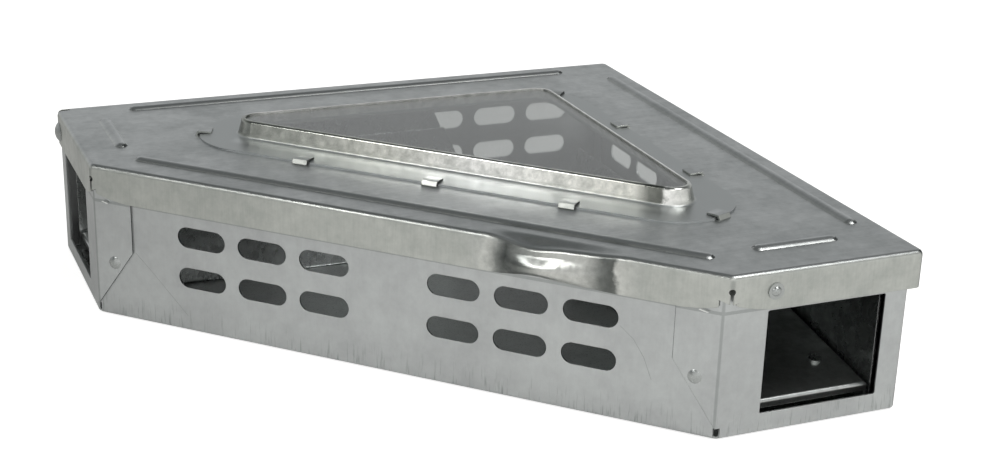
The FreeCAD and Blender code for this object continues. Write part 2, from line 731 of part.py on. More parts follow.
axleLength = farPlate - nearPlate + 2 * axleEnd
leftAxle = Part.makeCylinder(axleRadius, axleLength, vec(pivotX, -nearPlate + axleEnd, pivotHeight),
                             vec(0, -1, 0))
clips = []
for face, outwards in ((nearPlate - clipGap, 1), (farPlate + clipGap, -1)):
    seat = vec(pivotX, -face, pivotHeight)
    disc = Part.makeCylinder(clipRadius, clipThickness, seat, vec(0, outwards, 0))
    clips.append(disc.cut(leftAxle))

# Rivets through the tunnel's floor and the tray's, flush underneath
tunnelRivet = flatRivet(tunnelRivetHead, tunnelRivetHeadHeight, tunnelRivetShank, tunnelFloor,
                        tunnelRivetShank, 0)
tunnelRivets = []
for x, y in tunnelRivetSpots:
    fastener = tunnelRivet.copy()
    fastener.translate(vec(x, y, tunnelFloor))
    tunnelRivets += [fastener, swapLegs(fastener)]

# Treadle: a flat tread with rims folded down, built level round its axle
front = -pivotFromFront
back = treadleLength - pivotFromFront
nearRim = entranceStart - tunnelGap + treadleSideGap
farRim = entranceEnd + tunnelGap - treadleSideGap
rimLow = (tunnelFloor + restGap - pivotHeight + pivotFromFront * sin(slope)) / cos(slope)
underside = pivotDrop - treadleSheet
treadle = sideBox(front, back, nearRim, farRim, rimLow, pivotDrop)
treadle = treadle.makeFillet(treadleBend, edgesAt(treadle, pivotDrop))
below = sideBox(front + treadleSheet, back - treadleSheet, nearRim + treadleSheet,
                farRim - treadleSheet, rimLow - margin, underside)
below = below.makeFillet(treadleBend - treadleSheet, edgesAt(below, underside))
lipCut = sideBox(front - margin, back + margin, nearRim + treadleSheet, farRim - treadleSheet,
                 rimLow - margin, underside - treadleLip)
hubBore = Part.makeCylinder(axleRadius + runningFit, farRim + margin, vec(0, 0, 0), vec(0, -1, 0))
treadle = treadle.cut([below, lipCut, hubBore])

# Balance weight riveted under the entrance end
weightStart = front + weightFromFront
weight = sideBox(weightStart, weightStart + weightDepth, nearRim + weightSideGap,
                 farRim - weightSideGap, underside - weightThickness, underside)
weightRivet = flatRivet(weightRivetHead, weightRivetHeadHeight, weightRivetShank,
                        treadleSheet + weightThickness, weightRivetHead, tailHeight)
weightRivets = []
for side in (1, -1):
    spot = vec(weightStart + weightDepth / 2, -tunnelMiddle + side * weightRivetSpacing / 2, 0)
    fastener = weightRivet.copy()
    fastener.translate(spot + up * pivotDrop)
    weightRivets.append(fastener)
    bore = Part.makeCylinder(weightRivetShank, 2 * margin, spot - up * margin)
    weight = weight.cut(bore)
    treadle = treadle.cut(bore)

atRest = FreeCAD.Placement(vec(pivotX, 0, pivotHeight),
                           FreeCAD.Rotation(vec(0, -1, 0), treadleSlope))
for shape in [treadle, weight] + weightRivets:
    shape.Placement = atRest.multiply(shape.Placement)

nodes = {
    "base_tray": [tray],
    "tab_buttons": tabButtons,
    "lid": [lid],
    "window_frame": [frame],
    "window_pane": [pane],
    "hinge_rivets": hingeRivets,
    "keeper_stud": [keeper],
    "left_tunnel": [leftTunnel],
    "right_tunnel": [swapLegs(leftTunnel)],
    "tunnel_rivets": tunnelRivets,
    "left_axle": [leftAxle],
    "right_axle": [swapLegs(leftAxle)],
    "axle_clips": clips + [swapLegs(clip) for clip in clips],
    "left_treadle": [treadle],
    "right_treadle": [swapLegs(treadle)],
    "left_weight": [weight],
    "right_weight": [swapLegs(weight)],
    "left_weight_rivets": weightRivets,
    "right_weight_rivets": [swapLegs(fastener) for fastener in weightRivets],
}

# The origin lies under the middle of the tray, within a millimetre of the middle of the whole
toOrigin = vec(legLength / 2, (legLength + keeperHeadHeight) / 2, 0)
os.makedirs("parts", exist_ok=True)
for name, shapes in nodes.items():
    solids = [solid for shape in shapes for solid in shape.Solids]
    node = solids[0] if len(solids) == 1 else Part.makeCompound(solids)
    node = node.translated(toOrigin)
    node.exportStep("parts/" + name + ".step")
    bounds = node.BoundBox
    print(name, len(solids), "solids", "valid" if node.isValid() else "INVALID",
          round(node.Volume), "mm3",
          [round(v, 2) for v in (bounds.XMin, bounds.XMax, bounds.YMin, bounds.YMax,
                                 bounds.ZMin, bounds.ZMax)])
print("pivot", [round(v, 3) for v in (pivotX + toOrigin.x, -tunnelMiddle + toOrigin.y, pivotHeight)],
      "hinge", [round(v, 3) for v in (-hingeInset + toOrigin.y, hingeHeight)],
      "rim", round(rimLow, 3))
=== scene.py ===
from math import radians

import bmesh
import bpy
from mathutils import Matrix, Quaternion, Vector


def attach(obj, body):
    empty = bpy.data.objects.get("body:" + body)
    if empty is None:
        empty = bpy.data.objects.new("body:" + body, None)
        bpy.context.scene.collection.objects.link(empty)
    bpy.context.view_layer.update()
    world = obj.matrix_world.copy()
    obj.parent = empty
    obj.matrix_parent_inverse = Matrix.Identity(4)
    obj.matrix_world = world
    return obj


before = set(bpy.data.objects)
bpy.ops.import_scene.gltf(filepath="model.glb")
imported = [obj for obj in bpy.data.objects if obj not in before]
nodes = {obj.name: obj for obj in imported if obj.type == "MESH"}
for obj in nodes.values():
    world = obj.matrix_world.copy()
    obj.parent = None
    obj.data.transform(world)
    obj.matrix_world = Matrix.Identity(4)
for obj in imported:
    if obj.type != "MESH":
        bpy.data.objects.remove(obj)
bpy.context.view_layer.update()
mm = 0.001
# the front wall stands at 45 degrees to both legs; its middle is given in millimetres
diagonal = 0.70711
alongWall = (diagonal, -diagonal, 0.0)
outOfWall = (-diagonal, -diagonal, 0.0)
wallMiddle = (-36.0, -35.25)
print("frame loaded:", len(nodes), "nodes")


def linear(hexColour, alpha=1.0):
    channels = [int(hexColour[i:i + 2], 16) / 255 for i in (0, 2, 4)]
    return tuple(c / 12.92 if c <= 0.04045 else ((c + 0.055) / 1.055) ** 2.4
                 for c in channels) + (alpha,)


def addNode(tree, kind, settings=None, inputs=None):
    # an input given as (node, output) is a link, anything else is a value
    node = tree.nodes.new(kind)
    for name, value in (settings or {}).items():
        setattr(node, name, value)
    for name, value in (inputs or {}).items():
        socket = node.inputs[name]
        if isinstance(value, tuple) and isinstance(value[0], bpy.types.Node):
            tree.links.new(value[0].outputs[value[1]], socket)
        else:
            socket.default_value = value
    return node


def perMm(size):
    # the scale of a pattern whose marks are about this many millimetres wide
    return 1 / (size * mm)


def newMaterial(name):
    material = bpy.data.materials.new(name)
    material.use_nodes = True
    material.node_tree.nodes.clear()
    return material, material.node_tree


def dressNode(name, material):
    piece = nodes[name]
    piece.data.materials.clear()
    piece.data.materials.append(material)


# Camera: about 0.7 m away, to the left of the right-hand entrance and looking down a little.

cameraLook = {"place": (-0.2224, -0.5679, 0.2697), "aim": (0.0245, 0.0062, 0.030),
              "roll": 1.77, "lens": 62.68, "sensor": 36.0, "nearest": 0.01}


def makeCamera():
    data = bpy.data.cameras.new("studioCamera")
    data.lens = cameraLook["lens"]
    data.sensor_width = cameraLook["sensor"]
    data.clip_start = cameraLook["nearest"]
    camera = bpy.data.objects.new("studioCamera", data)
    bpy.context.scene.collection.objects.link(camera)
    place, aim = Vector(cameraLook["place"]), Vector(cameraLook["aim"])
    camera.location = place
    level = (aim - place).to_track_quat("-Z", "Y")
    camera.rotation_mode = "QUATERNION"
    camera.rotation_quaternion = level @ Quaternion((0, 0, 1), radians(cameraLook["roll"]))
    bpy.context.scene.camera = camera


makeCamera()

# Studio: a white paper floor and pale walls, brighter in front than behind, under a darker
# ceiling. The lamp up on the left draws the line along the lid's front bend.

studio = {"floorHalf": 4.0, "floorDrop": 0.2, "floorTint": "c8c8c6", "floorGlow": 0.70,
          "glowInFront": 0.27, "glowFrom": -0.20, "glowAxis": (0.5, -0.866, 0), "fill": 0.55,
          "ceiling": [(0.10, "ffffff"), (0.36, "f6f6f5"), (0.60, "a4a6a5"), (0.78, "7f8281"),
                      (0.93, "7f8281"), (1.0, "a2a5a4")],
          "walls": [(0.0, "d5d7d8"), (0.20, "cbcdce"), (0.50, "959899"), (0.595, "929595"),
                    (0.70, "fafafa"), (1.0, "ffffff")],
          "lamps": [("leftLamp", (-0.86, -0.24, 0.84), 0.36, 2.2),
                    ("rightLamp", (0.42, -0.45, 1.05), 0.50, 4.5),
                    ("frontLamp", (-0.25, -1.30, 1.15), 1.0, 2.6)]}


def fillRamp(ramp, stops):
    elements = ramp.color_ramp.elements
    while len(elements) < len(stops):
        elements.new(0.5)
    for element, (place, tone) in zip(elements, stops):
        element.position = place
        element.color = linear(tone)


def makeFloor():
    mesh = bpy.data.meshes.new("studioFloor")
    shape = bmesh.new()
    bmesh.ops.create_grid(shape, x_segments=1, y_segments=1, size=studio["floorHalf"])
    bmesh.ops.translate(shape, verts=shape.verts, vec=(0, 0, -studio["floorDrop"] * mm))
    shape.to_mesh(mesh)
    shape.free()
    floor = bpy.data.objects.new("studioFloor", mesh)
    bpy.context.scene.collection.objects.link(floor)
    material, tree = newMaterial("paperFloor")
    path = addNode(tree, "ShaderNodeLightPath")
    paper = addNode(tree, "ShaderNodeBsdfDiffuse", inputs={"Color": linear(studio["floorTint"])})
    # seen directly the paper is white; in the metal it is white in front and greyer behind
    coords = addNode(tree, "ShaderNodeTexCoord")
    forward = addNode(tree, "ShaderNodeVectorMath", {"operation": "DOT_PRODUCT"},
                      {0: (coords, "Object"), 1: studio["glowAxis"]})
    reflected = addNode(tree, "ShaderNodeMapRange", inputs={
        "Value": (forward, "Value"), "From Min": studio["glowFrom"], "From Max": 0.0,
        "To Max": studio["glowInFront"]})
    strength = addNode(tree, "ShaderNodeMix", {"data_type": "FLOAT"},
                       {0: (path, "Is Camera Ray"), 2: (reflected, "Result"),
                        3: studio["floorGlow"]})
    glow = addNode(tree, "ShaderNodeEmission", inputs={"Strength": (strength, 0)})
    both = addNode(tree, "ShaderNodeAddShader", inputs={0: (paper, "BSDF"), 1: (glow, "Emission")})
    mirrored = addNode(tree, "ShaderNodeMath", {"operation": "MAXIMUM"},
                       {0: (path, "Is Glossy Ray"), 1: (path, "Is Transmission Ray")})
    shown = addNode(tree, "ShaderNodeMath", {"operation": "MAXIMUM"},
                    {0: (mirrored, "Value"), 1: (path, "Is Camera Ray")})
    mix = addNode(tree, "ShaderNodeMixShader", inputs={"Fac": (shown, "Value"), 1: (paper, "BSDF"),
                                                       2: (both, "Shader")})
    addNode(tree, "ShaderNodeOutputMaterial", inputs={"Surface": (mix, "Shader")})
    mesh.materials.append(material)


def makeWorld():
    world = bpy.data.worlds.new("studioWorld")
    bpy.context.scene.world = world
    world.use_nodes = True
    tree = world.node_tree
    tree.nodes.clear()
    path = addNode(tree, "ShaderNodeLightPath")
    direction = addNode(tree, "ShaderNodeTexCoord")
    parts = addNode(tree, "ShaderNodeSeparateXYZ", inputs={0: (direction, "Generated")})
    ceiling = addNode(tree, "ShaderNodeValToRGB", inputs={"Fac": (parts, "Z")})
    fillRamp(ceiling, studio["ceiling"])
    towardsFront = addNode(tree, "ShaderNodeMapRange", inputs={
        "Value": (parts, "Y"), "From Min": 1.0, "From Max": -1.0})
    walls = addNode(tree, "ShaderNodeValToRGB", inputs={"Fac": (towardsFront, "Result")})
    fillRamp(walls, studio["walls"])
    room = addNode(tree, "ShaderNodeMix", {"data_type": "RGBA", "blend_type": "MULTIPLY"},
                   {0: 1.0, 6: (ceiling, "Color"), 7: (walls, "Color")})
    seen = addNode(tree, "ShaderNodeBackground", inputs={"Color": (room, 2)})
    white = addNode(tree, "ShaderNodeBackground", inputs={"Color": (1, 1, 1, 1)})
    fill = addNode(tree, "ShaderNodeBackground", inputs={"Color": (1, 1, 1, 1),
                                                         "Strength": studio["fill"]})
    either = addNode(tree, "ShaderNodeMath", {"operation": "MAXIMUM"},
                     {0: (path, "Is Glossy Ray"), 1: (path, "Is Transmission Ray")})
    lit = addNode(tree, "ShaderNodeMixShader", inputs={"Fac": (either, "Value"),
                                                       1: (fill, "Background"),
                                                       2: (seen, "Background")})
    mix = addNode(tree, "ShaderNodeMixShader", inputs={"Fac": (path, "Is Camera Ray"),
                                                       1: (lit, "Shader"),
                                                       2: (white, "Background")})
    addNode(tree, "ShaderNodeOutputWorld", inputs={"Surface": (mix, "Shader")})


def makeLamps():
    for name, place, size, power in studio["lamps"]:
        data = bpy.data.lights.new(name, "AREA")
        data.shape = "DISK"
        data.size = size
        data.energy = power
        lamp = bpy.data.objects.new(name, data)
        lamp.location = place
        lamp.rotation_euler = (-Vector(place)).to_track_quat("-Z", "Y").to_euler()
        bpy.context.scene.collection.objects.link(lamp)


makeFloor()
makeWorld()
makeLamps()
bpy.context.scene.view_settings.view_transform = "Standard"
print("camera and studio ready")

# Galvanised sheet: cold-rolled steel with a thin zinc coat, pressed smooth after dipping.
# It looks grey and satiny, with cloudy patches, faint rolling streaks and short upright drag
# marks where the folding tools gripped it.

traySheetLook = {"bright": "c3c6c5", "dull": "b5b7b7", "markAndShade": "767b79", "edge": "5d605f",
                 "paintedSideTint": "ffffff", "cloudSize": 30.0, "speckSize": 4.5, "grainSize": 1.1,
                 "streakWidth": 0.9, "streakLength": 70.0, "dragWidth": 0.7,
                 "dragLength": 12.0, "lines": 0.07, "waves": 0.12, "skirtShadowWidth": 0.6,
                 "roughLow": 0.34, "roughHigh": 0.42}
lidSheetLook = dict(traySheetLook, bright="c4c6c6", dull="aeb1b1", paintedSideTint="fffff8",
                    lines=0.15, waves=0.2, skirtShadowWidth=0.0, roughLow=0.30, roughHigh=0.40)
tunnelSheetLook = dict(traySheetLook, bright="dfe1e0", dull="a3a6a5", cloudSize=16.0, waves=0.3,
                       skirtShadowWidth=0.0, roughLow=0.22, roughHigh=0.32)
treadleSheetLook = dict(tunnelSheetLook, bright="cfd2d0", dull="a9acaa", roughLow=0.28,
                        roughHigh=0.36)
# what the four sheets share; heights, sizes and depths are in millimetres
sheetWear = {"flat": (0.55, 0.9), "speckShare": 0.45, "foot": (1.0, 11.0), "footMark": 0.6,
             "foldNormals": ((-0.383, -0.924, 0.0), (-0.924, -0.383, 0.0)),
             "fold": (0.93, 0.985), "foldShadeDepth": 0.4, "skirtShadowHeight": 46.0, "skirtShadowDepth": 0.4,
             "cutAcross": 0.3, "cutLevel": 0.9, "rolledEdge": 0.3, "waveSize": 38.0,
             "waveDepth": 1.2, "grainBump": 0.2, "grainDepth": 0.05}
# the scoop's painted reflection: light and dark bands from its left end to its right one, for how
# its bulge mirrors the room; its dents are bumps
scoopReflectionLook = {"centre": (0.0078, -0.0791, 0.052), "radius": 0.034, "core": 0.6, "dentSize": 7.0,
             "dentBump": 0.3, "dentDepth": 1.0, "rough": 0.3, "from": 30.0, "to": 95.0,
             "wander": 9.0, "fray": 1.5, "flecks": (0.38, 0.62), "fleckTone": 0.78,
             "reflectionBands": [(0.0, "b0b3b2"), (0.10, "d8d9d4"), (0.18, "8d908d"), (0.25, "5b5e5c"),
                       (0.36, "9a9d99"), (0.45, "cdcec9"), (0.64, "d0d1cc"), (0.77, "747774"),
                       (0.82, "686b68"), (0.85, "d4d5d0"), (0.92, "cccdc8"), (1.0, "b0b3b2")]}


def sheetMetal(name, look, scoopBands=None):
    material, tree = newMaterial(name)
    coords = addNode(tree, "ShaderNodeTexCoord")
    facing = addNode(tree, "ShaderNodeSeparateXYZ", inputs={0: (coords, "Normal")})
    level = addNode(tree, "ShaderNodeMath", {"operation": "ABSOLUTE"}, {0: (facing, "Z")})
    flat = addNode(tree, "ShaderNodeMapRange", inputs={
        "Value": (level, "Value"), "From Min": sheetWear["flat"][0],
        "From Max": sheetWear["flat"][1]})
    clouds = addNode(tree, "ShaderNodeTexNoise", inputs={"Vector": (coords, "Object"),
                                                         "Scale": perMm(look["cloudSize"]),
                                                         "Detail": 5.0, "Roughness": 0.62,
                                                         "Distortion": 0.4})
    grain = addNode(tree, "ShaderNodeTexNoise", inputs={"Vector": (coords, "Object"),
                                                        "Scale": perMm(look["grainSize"]),
                                                        "Detail": 2.0, "Roughness": 0.5})
    lengthways = addNode(tree, "ShaderNodeMapping", inputs={
        "Vector": (coords, "Object"),
        "Scale": (perMm(look["streakLength"]), perMm(look["streakWidth"]),
                  perMm(look["streakWidth"]))})
    streaks = addNode(tree, "ShaderNodeTexNoise", inputs={"Vector": (lengthways, "Vector"),
                                                          "Scale": 1.0, "Detail": 3.0,
                                                          "Roughness": 0.55})
    downwards = addNode(tree, "ShaderNodeMapping", inputs={
        "Vector": (coords, "Object"),
        "Scale": (perMm(look["dragWidth"]), perMm(look["dragWidth"]), perMm(look["dragLength"]))})
    drags = addNode(tree, "ShaderNodeTexNoise", inputs={"Vector": (downwards, "Vector"),
                                                        "Scale": 1.0, "Detail": 3.0,
                                                        "Roughness": 0.6})
    lines = addNode(tree, "ShaderNodeMix", {"data_type": "FLOAT"},
                    {0: (flat, "Result"), 2: (drags, "Fac"), 3: (streaks, "Fac")})
    specks = addNode(tree, "ShaderNodeTexNoise", inputs={"Vector": (coords, "Object"),
                                                         "Scale": perMm(look["speckSize"]),
                                                         "Detail": 4.0, "Roughness": 0.7})
    clouded = addNode(tree, "ShaderNodeMix", {"data_type": "FLOAT"},
                      {0: sheetWear["speckShare"], 2: (clouds, "Fac"), 3: (specks, "Fac")})
    cloudy = addNode(tree, "ShaderNodeMapRange", inputs={"Value": (clouded, 0), "From Min": 0.36,
                                                         "From Max": 0.64})
    lined = addNode(tree, "ShaderNodeMapRange", inputs={"Value": (lines, 0), "From Min": 0.3,
                                                        "From Max": 0.7, "To Min": -look["lines"],
                                                        "To Max": look["lines"]})
    blend = addNode(tree, "ShaderNodeMath", {"operation": "ADD", "use_clamp": True},
                    {0: (cloudy, "Result"), 1: (lined, "Result")})
    zinc = addNode(tree, "ShaderNodeMix", {"data_type": "RGBA"},
                   {0: (blend, "Value"), 6: linear(look["dull"]), 7: linear(look["bright"])})
    # drag marks gather along the foot of the walls
    height = addNode(tree, "ShaderNodeSeparateXYZ", inputs={0: (coords, "Object")})
    foot = addNode(tree, "ShaderNodeMapRange", inputs={
        "Value": (height, "Z"), "From Min": sheetWear["foot"][0] * mm,
        "From Max": sheetWear["foot"][1] * mm, "To Min": 1.0, "To Max": 0.0})
    sharp = addNode(tree, "ShaderNodeMapRange", inputs={"Value": (drags, "Fac"), "From Min": 0.57,
                                                        "From Max": 0.66})
    marks = addNode(tree, "ShaderNodeMath", {"operation": "MULTIPLY"},
                    {0: (sharp, "Result"), 1: (foot, "Result")})
    soft = addNode(tree, "ShaderNodeMath", {"operation": "MULTIPLY"},
                   {0: (marks, "Value"), 1: sheetWear["footMark"]})
    colour = addNode(tree, "ShaderNodeMix", {"data_type": "RGBA"},
                     {0: (soft, "Value"), 6: (zinc, 2), 7: linear(look["markAndShade"])})
    # painted shade: a darker band down the two rounded front corners, picked out by the turn of
    # the normals
    folds = []
    for normal in sheetWear["foldNormals"]:
        turned = addNode(tree, "ShaderNodeVectorMath", {"operation": "DOT_PRODUCT"},
                         {0: (coords, "Normal"), 1: normal})
        folds.append((turned, "Value"))
    nearest = addNode(tree, "ShaderNodeMath", {"operation": "MAXIMUM"}, {0: folds[0], 1: folds[1]})
    foldShade = addNode(tree, "ShaderNodeMapRange", inputs={
        "Value": (nearest, "Value"), "From Min": sheetWear["fold"][0],
        "From Max": sheetWear["fold"][1], "To Max": sheetWear["foldShadeDepth"]})
    # painted shadow: a darker line along the tray's walls just under the lid's edge
    underLid = addNode(tree, "ShaderNodeMath", {"operation": "COMPARE"},
                       {0: (height, "Z"), 1: sheetWear["skirtShadowHeight"] * mm,
                        2: look["skirtShadowWidth"] * mm})
    skirtShadow = addNode(tree, "ShaderNodeMath", {"operation": "MULTIPLY"},
                         {0: (underLid, "Value"), 1: sheetWear["skirtShadowDepth"]})
    paintedShade = addNode(tree, "ShaderNodeMath", {"operation": "MAXIMUM"}, {0: (foldShade, "Result"),
                                                                     1: (skirtShadow, "Value")})
    # painted tint: upright faces are multiplied by this tint, warmer than the tops on the lid, for
    # the light they reflect
    paintedSideTone = addNode(tree, "ShaderNodeMix", {"data_type": "RGBA"},
                       {0: (flat, "Result"), 6: linear(look["paintedSideTint"]), 7: (1, 1, 1, 1)})
    tinted = addNode(tree, "ShaderNodeMix", {"data_type": "RGBA", "blend_type": "MULTIPLY"},
                     {0: 1.0, 6: (colour, 2), 7: (paintedSideTone, 2)})
    # the painted shade at the folds and under the lid takes the drag marks' colour
    withPaintedShade = addNode(tree, "ShaderNodeMix", {"data_type": "RGBA"},
                   {0: (paintedShade, "Value"), 6: (tinted, 2), 7: linear(look["markAndShade"])})
    # the sheared edges of the slots and tabs show the bare, darker steel
    across = addNode(tree, "ShaderNodeVectorMath", {"operation": "DOT_PRODUCT"},
                     {0: (coords, "Normal"), 1: (diagonal, diagonal, 0.0)})
    offWall = addNode(tree, "ShaderNodeMath", {"operation": "ABSOLUTE"}, {0: (across, "Value")})
    inPlane = addNode(tree, "ShaderNodeMath", {"operation": "LESS_THAN"},
                      {0: (offWall, "Value"), 1: sheetWear["cutAcross"]})
    steep = addNode(tree, "ShaderNodeMath", {"operation": "LESS_THAN"},
                    {0: (level, "Value"), 1: sheetWear["cutLevel"]})
    sheared = addNode(tree, "ShaderNodeMath", {"operation": "MULTIPLY"},
                      {0: (inPlane, "Value"), 1: (steep, "Value")})
    cutTone = addNode(tree, "ShaderNodeMix", {"data_type": "RGBA"},
                      {0: (sheared, "Value"), 6: (withPaintedShade, 2), 7: linear(look["edge"])})
    rough = addNode(tree, "ShaderNodeMapRange", inputs={"Value": (blend, "Value"),
                                                        "To Min": look["roughHigh"],
                                                        "To Max": look["roughLow"]})
    relief = addNode(tree, "ShaderNodeMath", {"operation": "ADD"}, {0: (grain, "Fac"),
                                                                   1: (lines, 0)})
    # the sheet's cut edges are rolled over a little by the shears
    rounded = addNode(tree, "ShaderNodeBevel", {"samples": 4},
                      {"Radius": sheetWear["rolledEdge"] * mm})
    waves = addNode(tree, "ShaderNodeTexNoise", inputs={"Vector": (coords, "Object"),
                                                        "Scale": perMm(sheetWear["waveSize"]),
                                                        "Detail": 1.0})
    wavy = addNode(tree, "ShaderNodeBump", inputs={"Height": (waves, "Fac"),
                                                   "Strength": look["waves"],
                                                   "Distance": sheetWear["waveDepth"] * mm,
                                                   "Normal": (rounded, "Normal")})
    tone, gloss, shaped = (cutTone, 2), (rough, "Result"), (wavy, "Normal")
    if scoopBands:
        # the pressed scoop: painted light and dark reflection bands along it, glossier, and full
        # of shallow dents
        reach = addNode(tree, "ShaderNodeVectorMath", {"operation": "DISTANCE"},
                        {0: (coords, "Object"), 1: scoopBands["centre"]})
        near = addNode(tree, "ShaderNodeMapRange", {"interpolation_type": "SMOOTHSTEP"},
                       {"Value": (reach, "Value"),
                        "From Min": scoopBands["radius"] * scoopBands["core"],
                        "From Max": scoopBands["radius"], "To Min": 1.0, "To Max": 0.0})
        sloping = addNode(tree, "ShaderNodeMath", {"operation": "SUBTRACT"},
                          {0: 1.0, 1: (flat, "Result")})
        paintedReflection = addNode(tree, "ShaderNodeMath", {"operation": "MULTIPLY"},
                         {0: (near, "Result"), 1: (sloping, "Value")})
        dents = addNode(tree, "ShaderNodeTexNoise", inputs={"Vector": (coords, "Object"),
                                                            "Scale": perMm(scoopBands["dentSize"]),
                                                            "Detail": 2.0})
        strength = addNode(tree, "ShaderNodeMath", {"operation": "MULTIPLY"},
                           {0: (paintedReflection, "Value"), 1: scoopBands["dentBump"]})
        dented = addNode(tree, "ShaderNodeBump", inputs={"Height": (dents, "Fac"),
                                                         "Strength": (strength, "Value"),
                                                         "Distance": scoopBands["dentDepth"] * mm,
                                                         "Normal": (wavy, "Normal")})
        sideways = addNode(tree, "ShaderNodeVectorMath", {"operation": "DOT_PRODUCT"},
                           {0: (coords, "Object"), 1: alongWall})
        wandering = addNode(tree, "ShaderNodeMath", {"operation": "MULTIPLY_ADD"},
                            {0: (dents, "Fac"), 1: scoopBands["wander"] * mm,
                             2: (sideways, "Value")})
        ragged = addNode(tree, "ShaderNodeMath", {"operation": "MULTIPLY_ADD"},
                         {0: (grain, "Fac"), 1: scoopBands["fray"] * mm, 2: (wandering, "Value")})
        # a noise is a half on average, so the painted bands start half of both shifts further on
        middle = (diagonal * (wallMiddle[0] - wallMiddle[1])
                  + 0.5 * (scoopBands["wander"] + scoopBands["fray"])) * mm
        place = addNode(tree, "ShaderNodeMapRange", inputs={
            "Value": (ragged, "Value"), "From Min": middle + scoopBands["from"] * mm,
            "From Max": middle + scoopBands["to"] * mm})
        reflectionBands = addNode(tree, "ShaderNodeValToRGB", inputs={"Fac": (place, "Result")})
        fillRamp(reflectionBands, scoopBands["reflectionBands"])
        flecks = addNode(tree, "ShaderNodeMapRange", inputs={
            "Value": (specks, "Fac"), "From Min": scoopBands["flecks"][0],
            "From Max": scoopBands["flecks"][1], "To Min": scoopBands["fleckTone"], "To Max": 1.0})
        flecked = addNode(tree, "ShaderNodeMix", {"data_type": "RGBA", "blend_type": "MULTIPLY"},
                          {0: 1.0, 6: (reflectionBands, "Color"), 7: (flecks, "Result")})
        scoopWithBands = addNode(tree, "ShaderNodeMix", {"data_type": "RGBA"},
                           {0: (paintedReflection, "Value"), 6: (cutTone, 2), 7: (flecked, 2)})
        smoother = addNode(tree, "ShaderNodeMix", {"data_type": "FLOAT"},
                           {0: (paintedReflection, "Value"), 2: (rough, "Result"), 3: scoopBands["rough"]})
        tone, gloss, shaped = (scoopWithBands, 2), (smoother, 0), (dented, "Normal")
    bump = addNode(tree, "ShaderNodeBump", inputs={"Height": (relief, "Value"),
                                                   "Strength": sheetWear["grainBump"],
                                                   "Distance": sheetWear["grainDepth"] * mm,
                                                   "Normal": shaped})
    metal = addNode(tree, "ShaderNodeBsdfPrincipled", inputs={"Base Color": tone, "Metallic": 1.0,
                                                              "Roughness": gloss,
                                                              "Normal": (bump, "Normal")})
    addNode(tree, "ShaderNodeOutputMaterial", inputs={"Surface": (metal, "BSDF")})
    return material


traySheet = sheetMetal("galvanisedSteelTray", traySheetLook)
lidSheet = sheetMetal("galvanisedSteelLid", lidSheetLook, scoopReflectionLook)
tunnelSheet = sheetMetal("galvanisedSteelTunnel", tunnelSheetLook)
treadleSheet = sheetMetal("galvanisedSteelTreadle", treadleSheetLook)

# Tinplate: steel rolled bright and tinned, drawn over a punch, so the collar mirrors in
# soft ripples; the flange stays as grey as the lid, with a painted reflection of the collar on it.
# Lengths are in millimetres; collarFoot and collarBend are heights above the floor.

tinLook = {"bright": "f6f6f2", "dull": "cfd0cc", "flange": "bbbebe", "paintedReflection": "eef1f1",
           "blotchSize": 4.0, "rippleSize": 9.0, "rippleBump": 0.18, "rippleDepth": 0.3,
           "collarFoot": (60.7, 61.3), "collarBend": (61.3, 62.6), "beside": (2.0, 8.0),
           "within": (84.0, 90.0), "bandReach": 100.0, "bandDepth": (-14.0, -9.0),
           "bandJitter": 0.04, "glossRough": 0.17, "dullRough": 0.26, "flangeRough": 0.4,
           "insideRough": 0.65, "insideTurn": -0.1,
           "collarReflectionBands": [(0.04, "6c6e6b"), (0.09, "b4b6b2"), (0.22, "cfd1cc"), (0.38, "eeeee9"),
                      (0.57, "ffffff"), (0.88, "f6f6f1"), (0.905, "8c8e8a"), (0.93, "7c7e7a"),
                      (0.945, "ffffff"), (1.0, "c8cac5")]}


